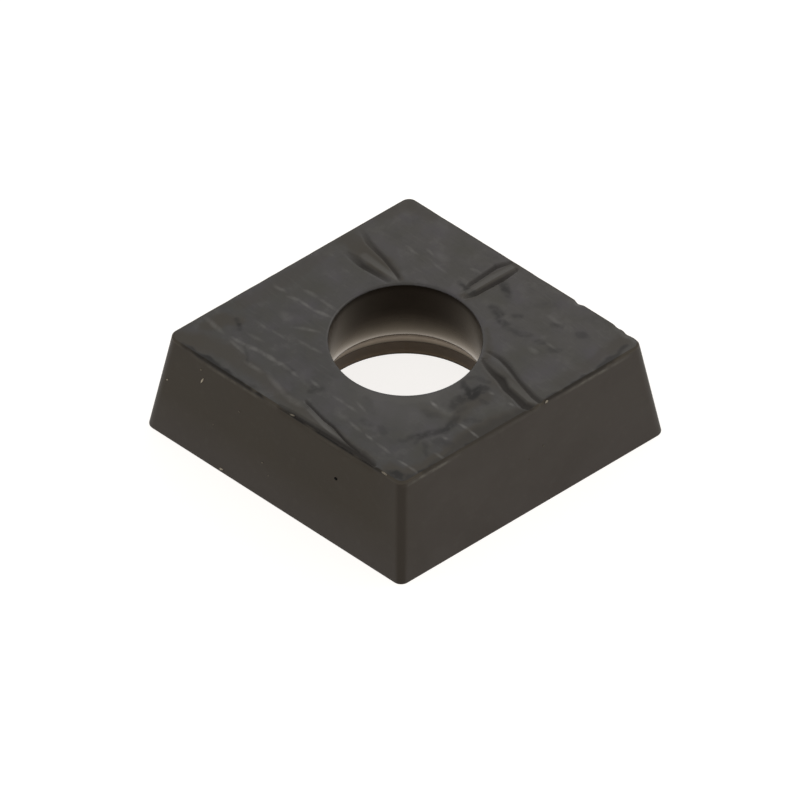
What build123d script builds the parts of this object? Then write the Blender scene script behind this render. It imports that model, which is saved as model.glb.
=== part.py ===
from build123d import *
import math
import os

# Positive turning insert, pressed and sintered in one piece, in millimetres.
# It lies on its rake face at Z = 0, with the smaller seat face on top.
# The origin is on the screw hole's axis, and the two cutting corners point along X.

# Body
inscribed_circle = 12.7  # touches the four cutting edges
thickness = 4.76  # cutting edges to seat face
corner_angle = 80.0  # of the two cutting corners
clearance_angle = 7.0  # lean of every flank
nose_radius = 0.4  # of all four corners
seat_edge_round = 0.1  # tumbled edge round the seat face
cutting_edge_hone = 0.04

# Screw hole, entered by the screw from the rake face
bore_diameter = 5.8
bore_rim_round = 0.08
head_pocket_diameter = 7.6
head_pocket_depth = 0.69  # of its upright wall
pocket_corner_radius = 0.87  # hollow corner between that wall and the seat of the head
head_seat_radius = 2.2  # bell that carries the underside of the screw's head

# Chipbreaker, moulded in the rake face
edge_land_width = 0.2  # flat strip behind the cutting edge
rake_angle = 15.0  # fall from that strip to the groove
groove_depth = 0.28
groove_floor_width = 0.2
groove_corner_radius = 0.8
back_wall_angle = 38.0  # rise from the groove to the plateau
plateau_drop = 0.04  # plateau below the level of the cutting edge
plateau_corner_radius = 1.1
groove_blend = 0.3  # radius at the foot of the rake slope and of the back wall

# Recessed marks in the seat face: shallow, with a flat floor and leaning walls
mark_depth = 0.1
mark_wall_angle = 52.0  # lean of the walls from upright
mark_corner_radius = 0.15


class SeatMark:
    # A mark is placed from the edge of the seat face that it runs out to. That flank's outward
    # direction is an angle seen from above. Both ends hold the way in from the edge and the way along it.
    def __init__(self, flank_angle, inner, outer, inner_width, outer_width):
        self.flank_angle = flank_angle
        self.inner = inner
        self.outer = outer
        self.inner_width = inner_width
        self.outer_width = outer_width


seat_marks = [
    SeatMark(130.0, inner=(2.8, -1.66), outer=(0.6, -1.62), inner_width=0.55, outer_width=1.2),
    SeatMark(50.0, inner=(2.35, -0.12), outer=(0.15, -0.54), inner_width=0.55, outer_width=0.56),
    SeatMark(310.0, inner=(3.05, 1.76), outer=(0.08, 1.6), inner_width=0.68, outer_width=0.8),
    SeatMark(230.0, inner=(0.52, -0.7), outer=(0.26, 2.8), inner_width=0.75, outer_width=0.36),
]

cutting_edge_reach = inscribed_circle / 2
seat_edge_reach = cutting_edge_reach - thickness * math.tan(math.radians(clearance_angle))


def sharp_rhombus(reach):
    # Rhombus whose four sides lie at one distance from the hole's axis.
    half = math.radians(corner_angle / 2)
    sharp_x = reach / math.sin(half)
    sharp_y = reach / math.cos(half)
    return Sketch() + Polygon((sharp_x, 0), (0, sharp_y), (-sharp_x, 0), (0, -sharp_y), align=None)


def rounded_rhombus(reach, corner_radius, height):
    outline = sharp_rhombus(reach)
    return Pos(0, 0, height) * fillet(outline.vertices(), corner_radius)


def drafted_body():
    # Flanks are planes that lean in from the cutting edges to the smaller seat face.
    body = Part() + extrude(sharp_rhombus(cutting_edge_reach), thickness, taper=clearance_angle)
    rake_edges = body.faces().sort_by(Axis.Z)[0].edges()
    seat_edges = body.faces().sort_by(Axis.Z)[-1].edges()
    body = fillet(body.edges() - rake_edges - seat_edges, nose_radius)
    body = fillet(body.faces().sort_by(Axis.Z)[-1].edges(), seat_edge_round)
    return fillet(body.faces().sort_by(Axis.Z)[0].edges(), cutting_edge_hone)


def chipbreaker():
    # The groove is a wide tapered pocket round an island that holds the plateau.
    rake_run = groove_depth / math.tan(math.radians(rake_angle))
    back_wall_run = (groove_depth - plateau_drop) / math.tan(math.radians(back_wall_angle))
    land_reach = cutting_edge_reach - edge_land_width
    floor_outer_reach = land_reach - rake_run
    floor_inner_reach = floor_outer_reach - groove_floor_width
    plateau_reach = floor_inner_reach - back_wall_run
    pocket = Part() + loft(
        [
            rounded_rhombus(land_reach, nose_radius / 2, 0),
            rounded_rhombus(floor_outer_reach, groove_corner_radius, groove_depth),
        ],
        ruled=True,
    )
    island = Part() + loft(
        [
            rounded_rhombus(plateau_reach, plateau_corner_radius, plateau_drop),
            rounded_rhombus(floor_inner_reach, groove_corner_radius, groove_depth),
        ],
        ruled=True,
    )
    groove = pocket - island
    foot_edges = groove.edges().filter_by_position(Axis.Z, groove_depth, groove_depth)
    return fillet(foot_edges, groove_blend)


def screw_hole():
    # Revolved section: upright bore, bell-shaped seat for the head, hollow corner, short upright pocket.
    # Bell and corner bend opposite ways and meet at their steepest lean.
    bore_radius = bore_diameter / 2
    pocket_radius = head_pocket_diameter / 2
    sweep = math.acos(1 - (pocket_radius - bore_radius) / (head_seat_radius + pocket_corner_radius))
    seat_top = head_pocket_depth + (head_seat_radius + pocket_corner_radius) * math.sin(sweep)

    def corner_point(angle):
        inset = pocket_corner_radius * (1 - math.cos(angle))
        return (pocket_radius - inset, head_pocket_depth + pocket_corner_radius * math.sin(angle))

    seat_middle = (
        bore_radius + head_seat_radius * (1 - math.cos(sweep / 2)),
        seat_top - head_seat_radius * math.sin(sweep / 2),
    )
    rim_top = thickness - bore_rim_round
    rim_middle = (
        bore_radius + bore_rim_round * (1 - math.cos(math.pi / 4)),
        thickness - bore_rim_round * (1 - math.sin(math.pi / 4)),
    )
    section = [
        Line((0, 0), (pocket_radius, 0)),
        Line((pocket_radius, 0), (pocket_radius, head_pocket_depth)),
        ThreePointArc((pocket_radius, head_pocket_depth), corner_point(sweep / 2), corner_point(sweep)),
        ThreePointArc(corner_point(sweep), seat_middle, (bore_radius, seat_top)),
        Line((bore_radius, seat_top), (bore_radius, rim_top)),
        ThreePointArc((bore_radius, rim_top), rim_middle, (bore_radius + bore_rim_round, thickness)),
        Line((bore_radius + bore_rim_round, thickness), (0, thickness)),
        Line((0, thickness), (0, 0)),
    ]
    half_section = Plane.XZ * make_face(Curve() + section)
    return revolve(half_section, axis=Axis.Z)


def place_on_seat(flank_angle, inset, along):
    turn = math.radians(flank_angle)
    out = seat_edge_reach - inset
    return Vector(
        out * math.cos(turn) - along * math.sin(turn),
        out * math.sin(turn) + along * math.cos(turn),
    )


def mark_recess(mark):
    inner = place_on_seat(mark.flank_angle, *mark.inner)
    outer = place_on_seat(mark.flank_angle, *mark.outer)
    direction = (outer - inner).normalized()
    side = Vector(-direction.Y, direction.X)
    corners = [
        inner + side * (mark.inner_width / 2),
        inner - side * (mark.inner_width / 2),
        outer - side * (mark.outer_width / 2),
        outer + side * (mark.outer_width / 2),
    ]
    outline = Sketch() + Polygon(*[(c.X, c.Y) for c in corners], align=None)
    outline = fillet(outline.vertices(), min(mark_corner_radius, mark.outer_width / 3))
    return extrude(Pos(0, 0, thickness) * outline, amount=-mark_depth, taper=mark_wall_angle)


insert = drafted_body() - chipbreaker() - screw_hole()
for mark in seat_marks:
    insert -= mark_recess(mark)
insert = Part() + insert.solid()
insert.label = "insert"

os.makedirs("parts", exist_ok=True)
export_step(insert, "parts/insert.step")
print("insert: volume", round(insert.volume, 2), "mm3, box", insert.bounding_box().size)
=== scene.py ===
import math

import bmesh
import bpy
import numpy as np
from mathutils import Matrix, Vector, noise


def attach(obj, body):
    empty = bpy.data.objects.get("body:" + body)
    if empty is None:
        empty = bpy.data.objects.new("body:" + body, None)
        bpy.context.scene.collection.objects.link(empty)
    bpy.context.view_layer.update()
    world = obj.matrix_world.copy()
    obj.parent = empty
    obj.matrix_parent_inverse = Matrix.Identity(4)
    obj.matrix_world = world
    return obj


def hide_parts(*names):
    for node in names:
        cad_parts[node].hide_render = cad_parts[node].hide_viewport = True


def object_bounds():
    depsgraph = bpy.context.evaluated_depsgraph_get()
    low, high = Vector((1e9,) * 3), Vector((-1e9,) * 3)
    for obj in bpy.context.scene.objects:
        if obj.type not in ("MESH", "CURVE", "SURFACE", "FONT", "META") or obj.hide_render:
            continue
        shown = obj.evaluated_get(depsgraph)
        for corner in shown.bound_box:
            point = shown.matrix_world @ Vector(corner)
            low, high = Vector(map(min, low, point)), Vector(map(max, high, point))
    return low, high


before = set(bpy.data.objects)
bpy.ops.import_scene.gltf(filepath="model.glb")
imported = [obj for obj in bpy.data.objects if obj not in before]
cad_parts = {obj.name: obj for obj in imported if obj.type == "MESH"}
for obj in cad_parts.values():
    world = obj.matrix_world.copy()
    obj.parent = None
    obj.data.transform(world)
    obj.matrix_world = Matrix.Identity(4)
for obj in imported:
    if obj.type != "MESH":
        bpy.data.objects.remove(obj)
cadLow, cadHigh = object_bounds()
print("frame loaded")

mm = 0.001  # lengths below are in millimetres, and the scene is in metres

# Turning insert: one pressed and sintered block of cemented carbide, lying on its rake face
insertBody = {
    "thickness": (cadHigh.z - cadLow.z) / mm,  # cutting edges to seat face
    "inscribedCircle": 12.7,  # touches the four cutting edges
    "coatThickness": 0.012,  # how far the flanks stand out over the bare block
    "cornerAngle": 80.0,  # of the two corners that cut
    "clearanceAngle": 7.0,  # lean of every flank
    "noseRadius": 0.4,
    "seatEdgeRound": 0.08,
    "cuttingEdgeHone": 0.03,
    # chipbreaker moulded in the rake face: land, slope, groove, back wall and plateau
    "landWidth": 0.2,
    "rakeAngle": 15.0,
    "grooveDepth": 0.28,
    "grooveFloor": 0.2,
    "grooveCorner": 0.8,
    "backWallAngle": 38.0,
    "plateauDrop": 0.04,  # plateau below the level of the cutting edges
    "plateauCorner": 1.1,
    "grooveBlend": 0.3,
}

# Screw hole: upright bore, bell for the screw's head, hollow corner, short upright pocket
screwHole = {
    "boreRadius": 2.9,
    "rimRound": 0.08,
    "pocketRadius": 3.8,
    "pocketDepth": 0.69,
    "pocketCorner": 0.87,  # hollow corner between the pocket's wall and the bell
    "bellRadius": 2.2,  # carries the underside of the screw's head
}

# The body's mesh is a grid: columns run round it, and rings run from the hole out over the seat and back
meshGrid = {
    "columnsPerSide": 176,
    "columnsPerCorner": 14,
    # columns crowd where marks run out over a side: place, spread and gain, the first two as the
    # tangent of the angle from the side's middle
    "crowdedSides": {
        50: [(-0.05, 0.15, 1.6)],
        130: [(-0.41, 0.27, 1.6)],
        230: [],
        310: [(0.5, 0.34, 1.4)],
    },
    "crowdedSeat": [(1.0, 0.4, 1.6)],  # rings crowd towards the seat's edge
    "crowdingSteps": 3000,  # fineness of the sum that places them
    "boreRings": 7,
    "rimRings": 4,
    "seatRings": 56,
    "edgeRings": 5,
    "flankRings": 12,
    "honeRings": 4,
    "blendRings": 3,
    "plateauShares": (0.33, 0.66, 1.0),
    "pocketShares": (0.16, 0.33, 0.5, 0.66, 1.0),
    "cornerRings": 7,
    "bellRings": 10,
    "sharpFrom": 32,  # degrees between faces
}

sideAngles = (50, 130, 230, 310)  # outward direction of each flank, seen from above
blunterNext = (50, 230)  # flanks with a blunt corner at their far end, going round to the left
halfCorner = math.radians(insertBody["cornerAngle"] / 2)
cuttingReach = insertBody["inscribedCircle"] / 2 + insertBody["coatThickness"]
flankLean = math.tan(math.radians(insertBody["clearanceAngle"]))
seatReach = cuttingReach - insertBody["thickness"] * flankLean


def sideFrame(side):
    # Outward direction of a flank and the way along it
    turn = math.radians(side)
    return np.array([math.cos(turn), math.sin(turn)]), np.array([-math.sin(turn), math.cos(turn)])


def spreadOut(start, end, count, crowded):
    # Places between start and end, closer together where they are crowded
    fine = np.linspace(start, end, meshGrid["crowdingSteps"])
    weight = np.ones_like(fine)
    for place, spread, gain in crowded:
        weight += gain * np.exp(-(((fine - place) / spread) ** 4))
    total = np.concatenate([[0.0], np.cumsum((weight[1:] + weight[:-1]) / 2)])
    return np.interp(np.linspace(0, total[-1], count + 2)[1:-1], total, fine)


def makeColumns():
    # Every column is a point of the unrounded rhombus of reach 1 and the outward direction there
    points, directions = [], []
    cornersAfter = {
        50: (0, 1 / math.cos(halfCorner)),
        130: (-1 / math.sin(halfCorner), 0),
        230: (0, -1 / math.cos(halfCorner)),
        310: (1 / math.sin(halfCorner), 0),
    }
    for side in sideAngles:
        turn = math.radians(side)
        out, along = sideFrame(side)
        toSharp, toBlunt = 1 / math.tan(halfCorner), math.tan(halfCorner)
        start, end = (-toSharp, toBlunt) if side in blunterNext else (-toBlunt, toSharp)
        for way in spreadOut(start, end, meshGrid["columnsPerSide"], meshGrid["crowdedSides"][side]):
            points.append(out + way * along)
            directions.append(out)
        cornerTurn = math.radians(
            insertBody["cornerAngle"] if side in blunterNext else 180 - insertBody["cornerAngle"]
        )
        for step in range(meshGrid["columnsPerCorner"] + 1):
            angle = turn + cornerTurn * step / meshGrid["columnsPerCorner"]
            points.append(np.array(cornersAfter[side]))
            directions.append(np.array([math.cos(angle), math.sin(angle)]))
    return np.array(points), np.array(directions)


columnPoints, columnDirections = makeColumns()


def outlineRing(reach, corner, height):
    xy = (reach - corner) * columnPoints + corner * columnDirections
    return np.column_stack([xy, np.full(len(xy), height)])


seatOutline = outlineRing(seatReach, insertBody["noseRadius"], insertBody["thickness"])
columnAngles = np.arctan2(seatOutline[:, 1], seatOutline[:, 0])


def circleRing(radius, height):
    flat = np.full(len(columnAngles), height)
    return np.column_stack([radius * np.cos(columnAngles), radius * np.sin(columnAngles), flat])


def roundedProfile(corners, radius, steps):
    # Corners are (reach, height, corner radius of the outline), and the inner ones are blended with an arc
    mostOfLeg = 0.45  # share of a straight stretch that one blend may take
    made = [np.array(corners[0])]
    for before, here, after in zip(corners, corners[1:], corners[2:]):
        before, here, after = np.array(before), np.array(here), np.array(after)
        back, ahead = before - here, after - here
        backLength, aheadLength = np.hypot(*back[:2]), np.hypot(*ahead[:2])
        bend = math.pi - math.acos(np.dot(back[:2], ahead[:2]) / (backLength * aheadLength))
        cut = min(radius * math.tan(bend / 2), backLength * mostOfLeg, aheadLength * mostOfLeg)
        first, last = here + back * cut / backLength, here + ahead * cut / aheadLength
        for step in range(steps + 1):
            share = step / steps
            made.append((1 - share) ** 2 * first + 2 * share * (1 - share) * here + share**2 * last)
    made.append(np.array(corners[-1]))
    return made


def makeRings():
    # Rings run up the bore, out over the seat face, down the flanks and back in under the rake face
    body, hole, grid = insertBody, screwHole, meshGrid
    rings, regions = [], []

    def keep(ring, region):
        rings.append(ring)
        regions.append(region)

    top = body["thickness"]
    bothRadii = hole["bellRadius"] + hole["pocketCorner"]
    sweep = math.acos(1 - (hole["pocketRadius"] - hole["boreRadius"]) / bothRadii)
    boreFoot = hole["pocketDepth"] + bothRadii * math.sin(sweep)
    rimFoot = top - hole["rimRound"]
    for share in np.linspace(0, 1, grid["boreRings"]):
        keep(circleRing(hole["boreRadius"], boreFoot + share * (rimFoot - boreFoot)), "bore")
    for angle in np.radians([90 * (step + 1) / grid["rimRings"] for step in range(grid["rimRings"])]):
        radius = hole["boreRadius"] + hole["rimRound"] * (1 - math.cos(angle))
        keep(circleRing(radius, rimFoot + hole["rimRound"] * math.sin(angle)), "rim")

    edgeTurn = math.radians(90 - body["clearanceAngle"])
    edgeCut = body["seatEdgeRound"] * math.tan(edgeTurn / 2)
    seatRim = circleRing(hole["boreRadius"] + hole["rimRound"], top)
    seatEdge = outlineRing(seatReach - edgeCut, body["noseRadius"] - edgeCut, top)
    outward = spreadOut(0, 1, grid["seatRings"], grid["crowdedSeat"])
    for share in list(outward) + [1.0]:
        keep(seatRim * (1 - share) + seatEdge * share, "seat")

    for step in range(1, grid["edgeRings"] + 1):
        angle = edgeTurn * step / grid["edgeRings"]
        reach = seatReach - edgeCut + body["seatEdgeRound"] * math.sin(angle)
        corner = body["noseRadius"] - edgeCut * (1 - step / grid["edgeRings"])
        keep(outlineRing(reach, corner, top - body["seatEdgeRound"] * (1 - math.cos(angle))), "edge")

    flankTop = top - body["seatEdgeRound"] * (1 - math.cos(edgeTurn))
    honeTurn = math.radians(90 + body["clearanceAngle"])
    honeCut = body["cuttingEdgeHone"] * math.tan(honeTurn / 2)
    flankFoot = honeCut * math.cos(math.radians(body["clearanceAngle"]))
    for step in range(1, grid["flankRings"] + 1):
        share = (1 - math.cos(math.pi * step / grid["flankRings"])) / 2
        height = flankTop + share * (flankFoot - flankTop)
        keep(outlineRing(cuttingReach - height * flankLean, body["noseRadius"], height), "flank")

    honeCentre = cuttingReach - honeCut
    for step in range(1, grid["honeRings"] + 1):
        angle = math.radians(body["clearanceAngle"]) - honeTurn * step / grid["honeRings"]
        reach = honeCentre + body["cuttingEdgeHone"] * math.cos(angle)
        height = body["cuttingEdgeHone"] * (1 + math.sin(angle))
        corner = body["noseRadius"] - honeCut * step / grid["honeRings"]
        keep(outlineRing(reach, corner, max(height, 0.0)), "hone")

    landReach = cuttingReach - body["landWidth"]
    floorOuter = landReach - body["grooveDepth"] / math.tan(math.radians(body["rakeAngle"]))
    floorInner = floorOuter - body["grooveFloor"]
    rise = body["grooveDepth"] - body["plateauDrop"]
    plateauReach = floorInner - rise / math.tan(math.radians(body["backWallAngle"]))
    corners = [
        (landReach, 0, body["noseRadius"] / 2),
        (floorOuter, body["grooveDepth"], body["grooveCorner"]),
        (floorInner, body["grooveDepth"], body["grooveCorner"]),
        (plateauReach, body["plateauDrop"], body["plateauCorner"]),
    ]
    for reach, height, corner in roundedProfile(corners, body["grooveBlend"], grid["blendRings"]):
        keep(outlineRing(reach, corner, height), "rake")
    plateauEdge = outlineRing(plateauReach, body["plateauCorner"], body["plateauDrop"])
    mouth = circleRing(hole["pocketRadius"], body["plateauDrop"])
    for share in grid["plateauShares"]:
        keep(plateauEdge * (1 - share) + mouth * share, "rake")

    for share in grid["pocketShares"]:
        height = body["plateauDrop"] + share * (hole["pocketDepth"] - body["plateauDrop"])
        keep(circleRing(hole["pocketRadius"], height), "pocket")
    for angle in np.linspace(0, sweep, grid["cornerRings"] + 1)[1:]:
        radius = hole["pocketRadius"] - hole["pocketCorner"] * (1 - math.cos(angle))
        keep(circleRing(radius, hole["pocketDepth"] + hole["pocketCorner"] * math.sin(angle)), "bell")
    for angle in np.linspace(sweep, 0, grid["bellRings"] + 2)[1:-1]:
        radius = hole["boreRadius"] + hole["bellRadius"] * (1 - math.cos(angle))
        keep(circleRing(radius, boreFoot - hole["bellRadius"] * math.sin(angle)), "bell")
    return np.array(rings), regions


def softStep(low, high, value):
    share = np.clip((value - low) / (high - low), 0, 1)
    return share * share * (3 - 2 * share)


# Strokes are how marks and stains are drawn on the seat face: every point is (x, y, half width, strength)
strokeSide = {
    "fullTo": 0.35,  # in half widths from the middle
    "goneAt": 1.35,
}


def strokeField(xy, stroke):
    # Strength of one stroke at every point: full along its middle and soft over its sides
    best = np.zeros(len(xy))
    for start, end in zip(stroke, stroke[1:]):
        origin, along = np.array(start[:2]), np.array(end[:2]) - np.array(start[:2])
        share = np.clip(((xy - origin) @ along) / (along @ along), 0, 1)
        gap = np.linalg.norm(xy - origin - share[:, None] * along, axis=1)
        halfWidth = start[2] + share * (end[2] - start[2])
        strength = start[3] + share * (end[3] - start[3])
        fade = softStep(strokeSide["fullTo"], strokeSide["goneAt"], gap / halfWidth)
        best = np.maximum(best, strength * (1 - fade))
    return best


def strongest(xy, strokes):
    best = np.zeros(len(xy))
    for stroke in strokes:
        best = np.maximum(best, strokeField(xy, stroke))
    return best


# Pressed marks in the seat face: each is two worn troughs with a rubbed ridge between them,
# and a trough's strength fades it out at its ends
seatMarks = {
    "depth": 0.08,
    "deepest": 1.2,  # strongest a trough may look
    "ridgeSink": 0.02,
    "edgeBite": 0.055,  # how far a mark that runs along the edge lowers the edge itself
    "troughs": [
        # back left
        [(-1.76, 5.64, 0.1, 0.1), (-1.5, 5.07, 0.14, 0.5), (-1.18, 4.62, 0.11, 0.7),
         (-0.87, 4.21, 0.09, 0.75), (-0.33, 3.32, 0.09, 0.75), (-0.26, 3.06, 0.07, 0.3)],
        [(-2.34, 4.5, 0.12, 0.1), (-1.95, 4.12, 0.18, 0.6), (-1.66, 3.82, 0.15, 1.0),
         (-1.08, 3.36, 0.13, 0.8), (-0.66, 2.97, 0.1, 0.35)],
        # back right
        [(2.06, 2.54, 0.08, 0.2), (2.39, 2.96, 0.11, 0.75), (3.32, 3.86, 0.12, 0.9), (3.9, 4.1, 0.08, 0.5)],
        [(2.2, 2.24, 0.1, 0.4), (2.55, 2.41, 0.12, 0.9), (3.56, 3.2, 0.12, 1.0), (4.12, 3.7, 0.08, 0.5)],
        # front right
        [(3.17, -0.64, 0.07, 0.4), (3.58, -0.94, 0.09, 0.8), (3.89, -1.35, 0.1, 0.9),
         (4.35, -2.17, 0.09, 0.8), (4.85, -2.89, 0.11, 0.8), (5.15, -3.19, 0.11, 0.8)],
        [(2.87, -0.96, 0.08, 0.5), (3.14, -1.42, 0.13, 0.8), (3.37, -1.73, 0.15, 1),
         (3.64, -2.03, 0.19, 1.3), (3.83, -2.5, 0.15, 1.1), (4.17, -2.9, 0.15, 1), (4.52, -3.36, 0.18, 1.1),
         (4.82, -3.46, 0.2, 0.9)],
        # front left, running along the edge
        [(-3.64, -3.35, 0.07, 0.5), (-3.45, -3.58, 0.06, 0.7), (-2.94, -4.25, 0.07, 0.8),
         (-2.56, -4.65, 0.06, 0.8), (-2.23, -5.16, 0.06, 0.9), (-1.95, -5.52, 0.07, 0.9),
         (-1.68, -5.82, 0.09, 1), (-1.48, -6.13, 0.1, 0.9)],
        [(-4.64, -3.61, 0.09, 0.6), (-4.22, -3.96, 0.14, 1), (-3.84, -4.29, 0.16, 1.2),
         (-3.38, -4.67, 0.17, 1.2), (-2.7, -5.2, 0.18, 1.2), (-1.94, -5.83, 0.19, 1.2),
         (-1.52, -6.13, 0.23, 1.1), (-1.1, -6.53, 0.16, 1)],
    ],
    # one rubbed ridge for each mark, in the same order, where strength is how pale it is
    "ridges": [
        [(-1.62, 4.38, 0.16, 0.5), (-1.13, 3.89, 0.14, 0.7), (-0.36, 3.17, 0.1, 1.0)],
        [(2.32, 2.55, 0.1, 0.7), (3.22, 3.35, 0.12, 0.8), (3.95, 3.9, 0.1, 0.7)],
        [(2.98, -1.05, 0.1, 0.4), (4.17, -2.39, 0.14, 0.4), (4.92, -3.28, 0.14, 0.6)],
        [(-3.52, -3.74, 0.09, 0.5), (-2.9, -4.56, 0.11, 1), (-2.59, -4.94, 0.09, 0.8),
         (-1.94, -5.65, 0.07, 0.5)],
    ],
}


def seatFields(xy):
    # Troughs and rubbed ridges, each from 0 to about 1 over the seat face
    trough = strongest(xy, seatMarks["troughs"])
    return trough, strongest(xy, seatMarks["ridges"]) * (1 - np.clip(trough, 0, 1))


def pressMarks(places, trough, ridge, regions):
    # Sinks the marks into the seat face, and less deeply into its edge
    sink = seatMarks["depth"] * trough
    places[:, 2] -= (sink + seatMarks["ridgeSink"] * ridge) * (regions == "seat")
    places[:, 2] -= np.minimum(sink, seatMarks["edgeBite"]) * (regions == "edge")


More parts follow.
